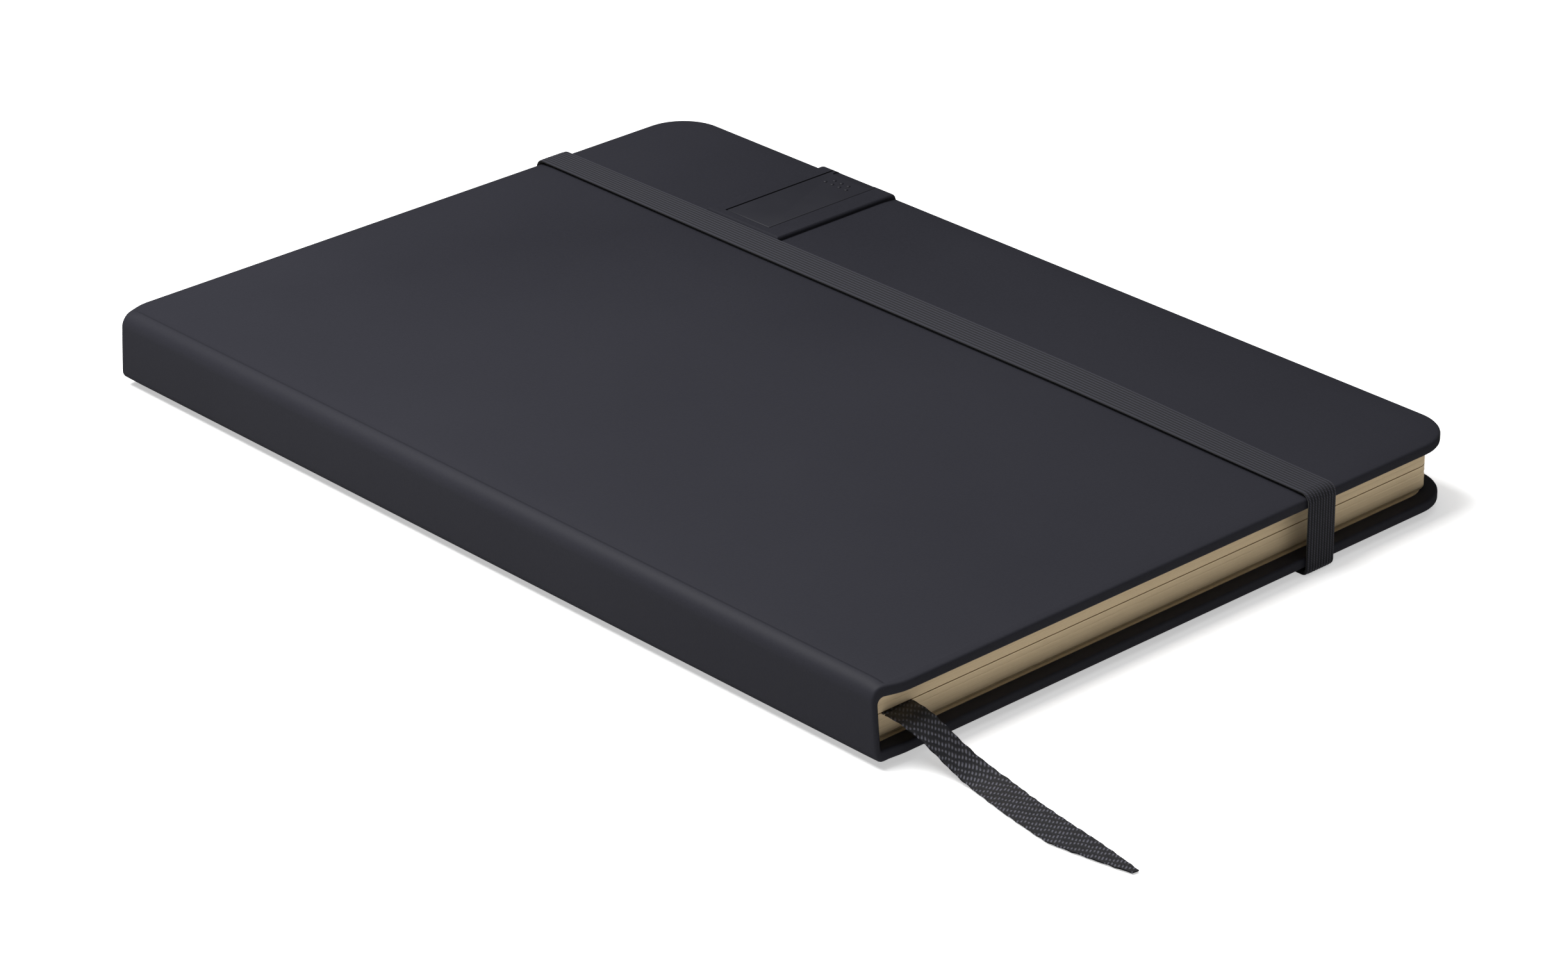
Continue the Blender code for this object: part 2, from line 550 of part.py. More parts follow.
def build():
    for old in list(bpy.data.objects):
        bpy.data.objects.remove(old, do_unlink=True)

    covering = material("soft_touch_covering", (0.045, 0.045, 0.055), 0.62)
    board = material("grey_board", (0.30, 0.29, 0.27), 0.9)
    paper = material("ivory_paper", (0.62, 0.53, 0.38), 0.85)
    endpaper = material("endpaper", (0.60, 0.52, 0.38), 0.85)
    lining = material("gauze_lining", (0.72, 0.70, 0.64), 0.9)
    elastic = material("black_elastic", (0.018, 0.018, 0.026), 0.8)
    ribbon = material("black_ribbon", (0.02, 0.02, 0.026), 0.55)
    shell = material("black_plastic", (0.03, 0.03, 0.04), 0.4)
    tray = material("tray_plastic", (0.02, 0.02, 0.025), 0.5)
    circuit = material("circuit_board", (0.02, 0.10, 0.05), 0.5)
    chip = material("chip_resin", (0.01, 0.01, 0.01), 0.45)
    contact = material("gold_contact", (0.80, 0.58, 0.22), 0.25, 1.0)

    still = axis_empty("back_cover_frame", (0, 0, 0))
    spine = axis_empty("back_fold_axis", BACK_FOLD, still)
    front = axis_empty("front_fold_axis", FRONT_FOLD, spine)
    turning = axis_empty("page_opening_axis", OPENING, still)
    moving_strap = axis_empty("strap_axis", STRAP_TURN, still)
    docked = axis_empty("stick_slide", (STICK_INNER, STICK_FROM_MIDDLE, STICK_BOTTOM), front)

    back_skin = cover_skin("back_cover_skin", BACK_FOLD_RADIUS, -1, covering, still)
    back_board = cover_board("back_board", BACK_FOLD_RADIUS, -1, board, still)
    pastedown("back_pastedown", BACK_FOLD_RADIUS, -1, endpaper, still)
    strap_slots(back_skin, back_board)
    spine_skin(covering, spine)
    piece("spine_board", box(*spine_board_box()), board, spine)
    front_skin = cover_skin("front_cover_skin", FRONT_FOLD_RADIUS, 1, covering, front)
    front_board = cover_board("front_board", FRONT_FOLD_RADIUS, 1, board, front)
    pastedown("front_pastedown", FRONT_FOLD_RADIUS, 1, endpaper, front)

    page_block("back_flyleaf", BLOCK_BOTTOM, BLOCK_BOTTOM + ENDPAPER, endpaper, still)
    page_block("front_flyleaf", BLOCK_TOP - ENDPAPER, BLOCK_TOP, endpaper, turning)
    leaves = sections(paper, still, turning)
    spine_linings(lining, still, turning)
    inner_ribbon(ribbon, leaves[SECTIONS - SECTIONS_TURNED - 1], still)
    ribbon_tail(ribbon, still)

    strap(elastic, still, moving_strap)
    dock(front_skin, front_board, covering, tray, front)
    stick(shell, circuit, chip, contact, docked)


build()
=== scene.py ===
# %% [markdown]
# # A hard-cover sketchbook with an elastic closure, a ribbon marker and a docked memory stick
#
# The book is an A5 notebook. Its cover is grey board wrapped in a soft-touch coating, its leaves are
# ivory paper, a ribbed elastic holds it shut, and a memory stick slides into a raised pad on the
# front cover. The plain working model already gives every piece its size, its place and its
# movement. This script builds the fine surface of each visible piece around it, one piece per step.

# %% Load the working model
import json
import math
import random

import bmesh
import bpy
from mathutils import Matrix, Vector

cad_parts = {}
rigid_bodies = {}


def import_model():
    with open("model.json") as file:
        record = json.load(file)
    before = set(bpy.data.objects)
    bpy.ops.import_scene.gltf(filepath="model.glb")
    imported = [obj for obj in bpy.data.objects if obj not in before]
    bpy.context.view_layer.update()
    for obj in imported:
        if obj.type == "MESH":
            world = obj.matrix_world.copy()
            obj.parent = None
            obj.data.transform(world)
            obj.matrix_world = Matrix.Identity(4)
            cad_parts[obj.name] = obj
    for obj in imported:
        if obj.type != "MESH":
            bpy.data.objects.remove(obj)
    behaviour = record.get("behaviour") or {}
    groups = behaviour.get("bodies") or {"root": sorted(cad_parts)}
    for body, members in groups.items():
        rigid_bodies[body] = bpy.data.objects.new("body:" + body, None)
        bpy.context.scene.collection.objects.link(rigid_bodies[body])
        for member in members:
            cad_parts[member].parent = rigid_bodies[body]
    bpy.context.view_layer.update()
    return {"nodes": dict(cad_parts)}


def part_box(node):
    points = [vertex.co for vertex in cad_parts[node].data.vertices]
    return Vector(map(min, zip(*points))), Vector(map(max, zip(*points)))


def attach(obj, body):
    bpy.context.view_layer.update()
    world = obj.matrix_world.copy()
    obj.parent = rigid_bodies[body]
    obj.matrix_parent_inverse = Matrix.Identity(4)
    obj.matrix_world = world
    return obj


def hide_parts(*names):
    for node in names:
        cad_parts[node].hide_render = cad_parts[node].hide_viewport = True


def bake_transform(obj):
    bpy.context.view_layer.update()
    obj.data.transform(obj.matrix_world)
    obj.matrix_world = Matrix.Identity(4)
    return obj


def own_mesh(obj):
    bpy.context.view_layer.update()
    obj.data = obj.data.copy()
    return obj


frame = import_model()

MM = 0.001

# %% [markdown]
# ## Sizes that several pieces share
#
# The places of the covers, the block, the band and the stick are read from the working model's own
# pieces. Small sizes that the model doesn't hold are named beside the piece that uses them.
# The corner and fold radii are those of the case, because the new covering follows it.

# %% Read the places of the case, the block and the stick
front_low, front_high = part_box("front_cover_skin")
back_low, back_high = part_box("back_cover_skin")
spine_low, spine_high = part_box("spine_skin")
stick_low, stick_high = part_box("stick_upper_shell")
dock_low, dock_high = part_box("dock_frame")
HALF = front_high.y
FORE = front_high.x
SPINE = spine_low.x
SPINE_WALL = spine_high.x - spine_low.x
SPINE_MIDDLE = (back_low.z + front_high.z) / 2
CORNER_RADIUS = 9.5 * MM
FRONT_FOLD_RADIUS = 3.0 * MM
BACK_FOLD_RADIUS = 2.0 * MM
print("covers:", round((FORE - SPINE) / MM, 1), "x", round(2 * HALF / MM, 1), "mm")

# %% [markdown]
# ## The camera
#
# The camera stands low beside the spine and looks across the book to its fore edge. It is a long
# lens from nearly a metre away, so the far edges shrink only a little.

# %% Place the camera
CAMERA_AZIMUTH = math.radians(-42.456)
CAMERA_ELEVATION = math.radians(26.077)
CAMERA_ROLL = math.radians(-0.530)
CAMERA_DISTANCE = 942.0 * MM
CAMERA_TARGET = Vector((-21.66, -26.91, 8.2)) * MM

away = Vector((math.sin(CAMERA_AZIMUTH) * math.cos(CAMERA_ELEVATION),
               -math.cos(CAMERA_AZIMUTH) * math.cos(CAMERA_ELEVATION),
               math.sin(CAMERA_ELEVATION)))
across = Vector((0, 0, 1)).cross(away).normalized()
upright = Matrix((across, away.cross(across), away)).transposed()
camera_data = bpy.data.cameras.new("book_camera")
camera_data.lens = 120.47
camera_data.sensor_width = 36.0
camera = bpy.data.objects.new("book_camera", camera_data)
bpy.context.scene.collection.objects.link(camera)
turn = upright @ Matrix.Rotation(CAMERA_ROLL, 3, "Z")
camera.matrix_world = Matrix.Translation(CAMERA_TARGET + CAMERA_DISTANCE * away) @ turn.to_4x4()
bpy.context.scene.camera = camera
print("camera at", [round(c, 3) for c in camera.matrix_world.translation])

# %% [markdown]
# ## Helpers for pieces
#
# A piece is made as a bmesh in its final place, so its object stays at the origin. One function
# turns the bmesh into an object, gives it its finish, and smooths its shading up to a set angle.
# The others hold the two moves that come back often: a block between two corners, and a
# rounded edge.

# %% Helpers for pieces
def make_piece(name, bm, finish, sharp_degrees=40):
    """Turn a bmesh into an object at the origin, with its material."""
    mesh = bpy.data.meshes.new(name)
    bm.to_mesh(mesh)
    bm.free()
    mesh.materials.append(finish)
    mesh.shade_smooth()
    mesh.set_sharp_from_angle(angle=math.radians(sharp_degrees))
    made = bpy.data.objects.new(name, mesh)
    bpy.context.scene.collection.objects.link(made)
    print(f"{name}: {len(mesh.polygons)} faces")
    return made


def block(low, high):
    """A bmesh box between two corners."""
    bm = bmesh.new()
    low, high = Vector(low), Vector(high)
    place = Matrix.Translation((low + high) / 2) @ Matrix.Diagonal((*(high - low), 1.0))
    bmesh.ops.create_cube(bm, size=1.0, matrix=place)
    return bm


def round_edges(bm, edges, radius, segments):
    """Round the given edges with an arc."""
    return bmesh.ops.bevel(bm, geom=edges, offset=radius, offset_type="OFFSET", segments=segments,
                           profile=0.5, affect="EDGES", material=-1)["faces"]


def upright_edges(bm, x):
    """The vertical edges at a given X."""
    return [e for e in bm.edges if all(abs(v.co.x - x) < MM / 100 for v in e.verts)
            and abs(e.verts[0].co.z - e.verts[1].co.z) > MM / 100
            and abs(e.verts[0].co.y - e.verts[1].co.y) < MM / 100]


def cut_across(bm, places, normal, keep=None):
    """Cut faces with parallel planes, so that the surface has vertices there."""
    for place in places:
        faces = [f for f in bm.faces if keep is None or keep(f)]
        parts = {part for f in faces for part in (*f.verts, *f.edges, f)}
        bmesh.ops.bisect_plane(bm, geom=list(parts), plane_co=place, plane_no=normal)


def carved(piece, cutters):
    """Cut blocks out of a finished piece, and keep the result as its mesh."""
    for number, bm in enumerate(cutters):
        mesh = bpy.data.meshes.new(f"cutter_{number}")
        bmesh.ops.recalc_face_normals(bm, faces=bm.faces)
        bm.to_mesh(mesh)
        bm.free()
        cutter = bpy.data.objects.new(f"cutter_{number}", mesh)
        bpy.context.scene.collection.objects.link(cutter)
        boolean = piece.modifiers.new(cutter.name, "BOOLEAN")
        boolean.object = cutter
        boolean.solver = "EXACT"
    result = bpy.data.meshes.new_from_object(piece.evaluated_get(bpy.context.evaluated_depsgraph_get()))
    piece.modifiers.clear()
    piece.data = result
    for cutter in [o for o in bpy.data.objects if o.name.startswith("cutter_")]:
        bpy.data.objects.remove(cutter)


print("helpers for pieces: make_piece, block, round_edges, upright_edges, cut_across, carved")

# %% [markdown]
# ## Helpers for finishes
#
# Colours are written as the hex values that a colour picker shows, and Blender wants linear light,
# so one function turns them. One more function adds a node to a material: a value given as another
# node's socket becomes a link, and anything else is set on the input.

# %% Helpers for finishes
def linear(hex_colour):
    """An sRGB hex colour as linear RGBA."""
    parts = [int(hex_colour[k:k + 2], 16) / 255 for k in (1, 3, 5)]
    return (*(c / 12.92 if c <= 0.04045 else ((c + 0.055) / 1.055) ** 2.4 for c in parts), 1.0)


def add(tree, kind, inputs=None, **settings):
    """Add a node with its settings; an input that is a socket is linked, any other is set."""
    made = tree.nodes.new(kind)
    for name, value in settings.items():
        setattr(made, name, value)
    for name, value in (inputs or {}).items():
        if isinstance(value, bpy.types.NodeSocket):
            tree.links.new(value, made.inputs[name])
        else:
            made.inputs[name].default_value = value
    return made


def start_finish(name, **shader_values):
    """A material with a Principled shader; returns it, its node tree and the shader."""
    made = bpy.data.materials.new(name)
    made.use_nodes = True
    shader = made.node_tree.nodes["Principled BSDF"]
    for socket, value in shader_values.items():
        shader.inputs[socket.replace("_", " ")].default_value = value
    return made, made.node_tree, shader


def per_mm(size_mm):
    """The texture scale that gives a feature of this size in millimetres."""
    return 1.0 / (size_mm * MM)


def wave_per_mm(period_mm):
    """The scale of a wave texture with this period: it has 20 radians to a unit."""
    return math.tau / 20 * per_mm(period_mm)


print("helpers for finishes: linear, add, start_finish, per_mm, wave_per_mm")

# %% [markdown]
# ## Soft-touch covering
#
# The case is wrapped in thermo polyurethane: a thin, leather-like sheet with a velvety, rubbery
# coating. The coating scatters what little light it returns, so it has a high roughness, a weak
# mirror reflection and a little sheen at grazing angles. A very fine grain breaks up the surface. A second,
# much wider noise lets the tone drift by a few per cent, as handled rubber does, and the `rubbed`
# attribute, painted on the rolled edges, makes them a touch lighter and smoother where hands rub.

# %% Soft-touch polyurethane finish
def soft_touch():
    """Wrapped polyurethane with a rubbery matt coating: no clear reflection, velvety at a low angle."""
    made, tree, shader = start_finish("soft_touch_polyurethane", Specular_IOR_Level=0.10,
                                      Sheen_Weight=0.01, Sheen_Roughness=0.55)
    place = add(tree, "ShaderNodeTexCoord").outputs["Object"]
    grain = add(tree, "ShaderNodeTexNoise", {"Vector": place, "Scale": per_mm(0.45), "Detail": 3.0,
                                             "Roughness": 0.62})
    drift = add(tree, "ShaderNodeTexNoise", {"Vector": place, "Scale": per_mm(38.0), "Detail": 2.0})
    rubbed = add(tree, "ShaderNodeAttribute", attribute_name="rubbed")
    tone = add(tree, "ShaderNodeMix", {0: drift.outputs[0], 6: linear("#1d1d23"), 7: linear("#222228")},
               data_type="RGBA")
    speck = add(tree, "ShaderNodeMapRange", {0: grain.outputs[0], 1: 0.3, 2: 0.7, 3: 0.90, 4: 1.10})
    speckled = add(tree, "ShaderNodeVectorMath", {0: tone.outputs[2], "Scale": speck.outputs[0]},
                   operation="SCALE")
    edge_share = add(tree, "ShaderNodeMath", {0: rubbed.outputs["Fac"], 1: 0.35}, operation="MULTIPLY")
    worn = add(tree, "ShaderNodeMix", {0: edge_share.outputs[0], 6: speckled.outputs[0],
                                       7: linear("#2b2b31")}, data_type="RGBA")
    tree.links.new(worn.outputs[2], shader.inputs["Base Color"])
    matt = add(tree, "ShaderNodeMapRange", {0: drift.outputs[0], 3: 0.60, 4: 0.70})
    smoother = add(tree, "ShaderNodeMath", {0: edge_share.outputs[0], 1: -0.18, 2: matt.outputs[0]},
                   operation="MULTIPLY_ADD")
    tree.links.new(smoother.outputs[0], shader.inputs["Roughness"])
    bump = add(tree, "ShaderNodeBump", {"Height": grain.outputs[0], "Strength": 0.35,
                                        "Distance": 0.03 * MM})
    tree.links.new(bump.outputs[0], shader.inputs["Normal"])
    return made


covering_finish = soft_touch()
print("finish:", covering_finish.name)

# %% [markdown]
# ## The ribbon marker
#
# The marker is a satin twill ribbon, 6.8 mm wide, glued to the back of the leaves. It runs down
# between two sections, leaves the block at the tail, drops to the table and lies there in a slow
# curve, cut off at a slant. It could be draped by simulation, but its route is already known, so a
# flat grid of quads is carried along a smooth curve through the route's points. One detail makes it
# cloth: its two edges ripple by a few hundredths of a millimetre.

# %% Twill finish for the ribbon
def ribbon_twill():
    """Black polyester twill: slanting floats of glossy thread, with pale flecks painted on them as
    highlights.
    """
    made, tree, shader = start_finish("black_ribbon_twill", Roughness=0.48, Specular_IOR_Level=0.4,
                                      Sheen_Weight=0.15, Sheen_Roughness=0.4)
    unrolled = add(tree, "ShaderNodeUVMap", uv_map="unrolled").outputs[0]
    # Floats lie at 52 degrees. Real ones are 0.25 mm apart; they are drawn at 0.62 mm to show.
    slant = add(tree, "ShaderNodeMapping", {"Vector": unrolled, "Rotation": (0, 0, math.radians(-52))})
    rows = add(tree, "ShaderNodeTexWave", {"Vector": slant.outputs[0], "Scale": wave_per_mm(0.62),
                                           "Distortion": 0.6, "Detail": 1.0, "Detail Scale": 2.0},
               wave_type="BANDS", bands_direction="X", wave_profile="SIN")
    cut = add(tree, "ShaderNodeMapping", {"Vector": unrolled, "Rotation": (0, 0, math.radians(38))})
    floats = add(tree, "ShaderNodeTexWave", {"Vector": cut.outputs[0], "Scale": wave_per_mm(1.5),
                                             "Distortion": 3.0, "Detail": 1.0, "Detail Scale": 3.0},
                 wave_type="BANDS", bands_direction="X", wave_profile="SIN")
    weave = add(tree, "ShaderNodeMath", {0: rows.outputs["Fac"], 1: floats.outputs["Fac"]},
                operation="MULTIPLY")
    # Painted highlight: where the weave peaks, the colour turns pale, as glossy floats catching the light.
    float_highlight_paint = add(tree, "ShaderNodeMapRange", {0: weave.outputs[0], 1: 0.25, 2: 0.85, 3: 0.0, 4: 1.0})
    colour = add(tree, "ShaderNodeMix", {0: float_highlight_paint.outputs[0], 6: linear("#0b0b11"),
                                         7: linear("#50505a")}, data_type="RGBA")
    tree.links.new(colour.outputs[2], shader.inputs["Base Color"])
    bump = add(tree, "ShaderNodeBump", {"Height": weave.outputs[0], "Strength": 0.9,
                                        "Distance": 0.08 * MM})
    tree.links.new(bump.outputs[0], shader.inputs["Normal"])
    return made


twill_finish = ribbon_twill()
print("finish:", twill_finish.name)

# %% [markdown]
# ## A ribbon along a route
#
# The route's few points become a smooth curve, and a grid is laid along it. Towards the tip it
# narrows from one side only, which gives the slanted cut.

# %% Sweep a ribbon along a route
RIBBON_WIDTH = 6.8 * MM
RIBBON_THICKNESS = 0.24 * MM
RIBBON_CUT = 16.0 * MM


def smooth_route(points, steps):
    """Points on a Catmull-Rom curve through the route's own points."""
    p = [Vector(q) * MM for q in points]
    p = [2 * p[0] - p[1]] + p + [2 * p[-1] - p[-2]]
    route = []
    for k in range(1, len(p) - 2):
        for s in range(steps):
            t = s / steps
            route.append(0.5 * ((2 * p[k]) + (p[k + 1] - p[k - 1]) * t
                                + (2 * p[k - 1] - 5 * p[k] + 4 * p[k + 1] - p[k + 2]) * t * t
                                + (3 * p[k] - p[k - 1] - 3 * p[k + 1] + p[k + 2]) * t ** 3))
    route.append(p[-2])
    return route


def ribbon_strip(route, across_cells, slant_cut=0.0, ripple=0.0):
    """A grid carried along a route, thickened, with its unrolled length and width as UV.

    Returns the bmesh, its length, and its own middle line.
    """
    lengths = [0.0]
    for before, after in zip(route, route[1:]):
        lengths.append(lengths[-1] + (after - before).length)
    middle = []
    bm = bmesh.new()
    bmesh.ops.create_grid(bm, x_segments=across_cells, y_segments=len(route) - 1, size=0.5)
    uv = bm.loops.layers.uv.new("unrolled")
    for vert in bm.verts:
        k = round((vert.co.y + 0.5) * (len(route) - 1))
        share = vert.co.x
        ahead = (route[min(k + 1, len(route) - 1)] - route[max(k - 1, 0)]).normalized()
        side = ahead.cross(Vector((0, 0, 1))).normalized()
        to_tip = lengths[-1] - lengths[k]
        narrowed = min(max(1 - to_tip / slant_cut, 0.0), 1.0) ** 1.25 * 0.8 if slant_cut else 0.0
        reach = 0.5 - (0.5 - share) * (1 - narrowed)
        wave = ripple * abs(2 * share) ** 3 * math.sin(lengths[k] / (2.6 * MM) * 2 * math.pi + share)
        swing = ripple * 0.6 * math.copysign(abs(2 * share) ** 3, share)
        swing *= math.sin(lengths[k] / (4.1 * MM) * 2 * math.pi)
        for loop in vert.link_loops:
            loop[uv].uv = (reach * RIBBON_WIDTH, lengths[k])
        lift = side.cross(ahead)
        if abs(share) < 0.01:
            middle.append((k, route[k] - side * reach * RIBBON_WIDTH))
        vert.co = route[k] - side * (reach * RIBBON_WIDTH + swing) + lift * (wave + RIBBON_THICKNESS / 2)
    bmesh.ops.recalc_face_normals(bm, faces=bm.faces)
    if sum(f.normal.z for f in bm.faces) < 0:
        bmesh.ops.reverse_faces(bm, faces=bm.faces)
    bmesh.ops.solidify(bm, geom=bm.faces[:], thickness=RIBBON_THICKNESS)
    bmesh.ops.recalc_face_normals(bm, faces=bm.faces)
    return bm, lengths[-1], [tuple(point) for k, point in sorted(middle)]


print("ribbon:", round(RIBBON_WIDTH / MM, 1), "mm wide")

# %% [markdown]
# ## The free end of the ribbon
#
# It leaves the tail of the block level, drops to the table within two centimetres and lies on it.
# Its length is that of the route. The sweep also returns its middle line, but nothing here uses it.

# %% The free end of the ribbon
RIBBON_ROUTE = [
    (-64.7, -101.4, 8.1), (-64.5, -103.6, 7.9), (-64.2, -106.0, 7.2), (-63.7, -108.6, 5.9),
    (-63.1, -111.2, 4.2), (-62.5, -113.9, 2.5), (-62.1, -116.8, 1.2), (-62.1, -120.0, 0.5),
    (-62.8, -124.0, 0.4), (-63.7, -128.5, 0.4), (-64.5, -133.5, 0.4), (-65.3, -139.0, 0.4),
    (-66.0, -144.5, 0.4), (-66.9, -150.0, 0.4), (-68.0, -156.0, 0.4),
]
tail_route = smooth_route(RIBBON_ROUTE, 6)
strip, free_length, middle_line = ribbon_strip(tail_route, 10, slant_cut=RIBBON_CUT, ripple=0.07 * MM)
free_ribbon = make_piece("ribbon_free_end", strip, twill_finish, sharp_degrees=60)
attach(free_ribbon, "back_cover")
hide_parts("ribbon_tail")
print("free length of the ribbon:", round(free_length / MM, 1), "mm")

# %% [markdown]
# ## The ribbon between the leaves
#
# Inside the block the same ribbon lies flat and straight, from the tail to the head.

# %% The ribbon between the leaves
inner_low, inner_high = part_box("ribbon_inner")
inner_middle = (inner_low + inner_high) / 2
INNER_STEPS = 40
inner_reach = inner_high.y - tail_route[0].y
inner_route = [Vector((inner_middle.x, tail_route[0].y + inner_reach * k / INNER_STEPS,
                       inner_high.z - RIBBON_THICKNESS / 2)) for k in range(INNER_STEPS + 1)]
strip, inner_length, _ = ribbon_strip(inner_route, 10)
inner_ribbon = make_piece("ribbon_between_leaves", strip, twill_finish, sharp_degrees=60)
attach(inner_ribbon, "back_cover")
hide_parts("ribbon_inner")
print("length between the leaves:", round(inner_length / MM, 1), "mm")

# %% [markdown]
# ## The case: front cover, back cover and spine
#
# One sheet of covering wraps both boards and the spine, with a fold at each side of the spine. It is
# made as two pieces that meet on the flat of the spine, where the joint can't be seen, and each piece
# holds one fold. Each starts as a block for the cover. A strip at the spine is pulled towards
# the other cover, which gives an L. Then the long folds are rounded, the two fore-edge corners, and
# last the whole rim, because the sheet rolls over the edge of the board.
#
# Two soft shapes finish it. The covering is thinly padded, so the flat face falls away by a third
# of a millimetre over the last few millimetres to the rim. And the spine is a little shorter than
# the covers, so the ends of the fold slope inwards towards the top.

# %% Shape one half of the case
ROLL = 1.1 * MM
PADDING_DROP = 0.35 * MM
PADDING_REACH = 4.4 * MM
LEAN_REACH = 7.0 * MM
LEAN_LOW = 0.5 * MM
LEAN_HIGH = 1.7 * MM


def eased(share):
    """A soft step from 0 to 1."""
    share = min(max(share, 0.0), 1.0)
    return share * share * (3 - 2 * share)


def rim_distance(co):
    """Distance in plan from a point of a cover to the nearest of its head, tail and fore edges."""
    to_fore = FORE - co.x
    to_end = HALF - abs(co.y)
    if to_fore < CORNER_RADIUS and to_end < CORNER_RADIUS:
        return CORNER_RADIUS - math.hypot(CORNER_RADIUS - to_fore, CORNER_RADIUS - to_end)
    return min(to_fore, to_end)


def half_case(cover_low, cover_high, spine_end, fold_radius, inner_radius):
    """A cover with its half of the spine wall: folds, corners and rim rounded."""
    bm = block((SPINE, -HALF, cover_low), (FORE, HALF, cover_high))
    towards_up = spine_end > cover_high
    inside = cover_high if towards_up else cover_low
    outside = cover_low if towards_up else cover_high
    cut_across(bm, [(SPINE + SPINE_WALL, 0, 0)], (1, 0, 0))
    strip_faces = [f for f in bm.faces if abs(f.calc_center_median().z - inside) < MM / 100
                   and f.calc_center_median().x < SPINE + SPINE_WALL]
    grown = bmesh.ops.extrude_face_region(bm, geom=strip_faces)["geom"]
    moved = [v for v in grown if isinstance(v, bmesh.types.BMVert)]
    bmesh.ops.delete(bm, geom=strip_faces, context="FACES")
    bmesh.ops.translate(bm, verts=moved, vec=(0, 0, spine_end - inside))
    bmesh.ops.dissolve_limit(bm, angle_limit=math.radians(1), verts=bm.verts[:], edges=bm.edges[:])
    lengthwise = [e for e in bm.edges if abs(e.verts[0].co.y - e.verts[1].co.y) > HALF]
    outer_fold = [e for e in lengthwise if all(v.co.x < SPINE + MM / 100 and
                                               abs(v.co.z - outside) < MM / 100 for v in e.verts)]
    round_edges(bm, outer_fold, fold_radius, 10)
    inner_fold = [e for e in bm.edges if abs(e.verts[0].co.y - e.verts[1].co.y) > HALF
                  and all(abs(v.co.x - SPINE - SPINE_WALL) < MM / 100 and
                          abs(v.co.z - inside) < MM / 100 for v in e.verts)]
    round_edges(bm, inner_fold, inner_radius, 6)
    round_edges(bm, upright_edges(bm, FORE), CORNER_RADIUS, 16)
    wall = min(ROLL, SPINE_WALL * 0.45)
    rim = [e for e in bm.edges if e.calc_face_angle(0.0) > math.radians(55)
           and not all(abs(v.co.z - spine_end) < MM / 100 for v in e.verts)]
    rolled = round_edges(bm, rim, wall, 4)
    rubbed = bm.verts.layers.float.new("rubbed")
    for face in rolled:
        for vert in face.verts:
            vert[rubbed] = 1.0
    flat = max((f for f in bm.faces if abs(f.calc_center_median().z - outside) < MM / 100),
               key=lambda f: f.calc_area())
    for step in (0.5, 0.6, 0.7, 0.9, 1.2, 1.2):
        bmesh.ops.inset_region(bm, faces=[flat], thickness=step * MM, use_even_offset=True)
    under = max((f for f in bm.faces if abs(f.calc_center_median().z - inside) < MM / 100),
                key=lambda f: f.calc_area())
    bmesh.ops.inset_region(bm, faces=[under], thickness=0.4 * MM, use_even_offset=True)
    fold_zone = SPINE + fold_radius + MM / 10
    ends = [(0, side * (HALF - reach * MM), 0) for side in (1, -1)
            for reach in (1.1, 1.7, 2.4, 3.3, 4.5, 7.3)]
    cut_across(bm, ends, (0, 1, 0), lambda f: max(v.co.x for v in f.verts) < fold_zone)
    steps = [(SPINE + fold_radius + reach * MM, 0, 0) for reach in (0.6, 1.6, 2.8, 4.2)]
    cut_across(bm, steps, (1, 0, 0), lambda f: max(abs(v.co.y) for v in f.verts) > HALF - ROLL / 2)
    for vert in bm.verts:
        shape_padding(vert, outside, inside)
        height = (vert.co.z - back_low.z) / (front_high.z - back_low.z)
        lean = LEAN_LOW + (LEAN_HIGH - LEAN_LOW) * height
        near_spine = eased((SPINE + LEAN_REACH - vert.co.x) / LEAN_REACH)
        near_end = eased((abs(vert.co.y) - HALF + LEAN_REACH) / LEAN_REACH)
        vert.co.y -= math.copysign(lean * near_spine * near_end, vert.co.y)
    bmesh.ops.recalc_face_normals(bm, faces=bm.faces)
    return bm


def shape_padding(vert, outside, inside):
    """Lower the outer half of a cover towards its rim."""
    half_way = (vert.co.z - inside) / (outside - inside)
    if half_way < 0.5 or vert.co.x < SPINE + MM / 100:
        return
    near_rim = max(0.0, 1 - max(rim_distance(vert.co), 0.0) / PADDING_REACH)
    share = min(1.0, (half_way - 0.5) * 2) * eased((vert.co.x - SPINE) / (3 * MM))
    vert.co.z -= math.copysign(PADDING_DROP * near_rim ** 1.6 * share, outside - inside)


print("case:", round(ROLL / MM, 1), "mm roll at the rim,", round(PADDING_DROP / MM, 2), "mm of padding")

# %% [markdown]
# ## The front cover with its half of the spine
#
# A pocket open at the fore edge is cut into the cover, where the stick and its tray lie.

# %% The front half of the case
FRONT_INNER_RADIUS = 1.3 * MM
POCKET_BEHIND = 0.95 * MM
POCKET_BESIDE = 0.92 * MM
POCKET_FLOOR = 0.48 * MM
front_case_bm = half_case(front_low.z, front_high.z, SPINE_MIDDLE, FRONT_FOLD_RADIUS, FRONT_INNER_RADIUS)
front_case = make_piece("front_cover_wrap", front_case_bm, covering_finish)
pocket_low = (stick_low.x - POCKET_BEHIND, stick_low.y - POCKET_BESIDE, front_low.z + POCKET_FLOOR)
pocket_high = (FORE + 2 * MM, stick_high.y + POCKET_BESIDE, front_high.z + 2 * MM)
carved(front_case, [block(pocket_low, pocket_high)])
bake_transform(front_case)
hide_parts("front_cover_skin", "spine_skin", "front_board", "spine_board")

# %% [markdown]
# ## The back cover with its half of the spine
#
# Its inner fold is nearly sharp, so that it stays clear of the leaves when the book opens. Two slots
# near the head and the tail take the ends of the elastic.

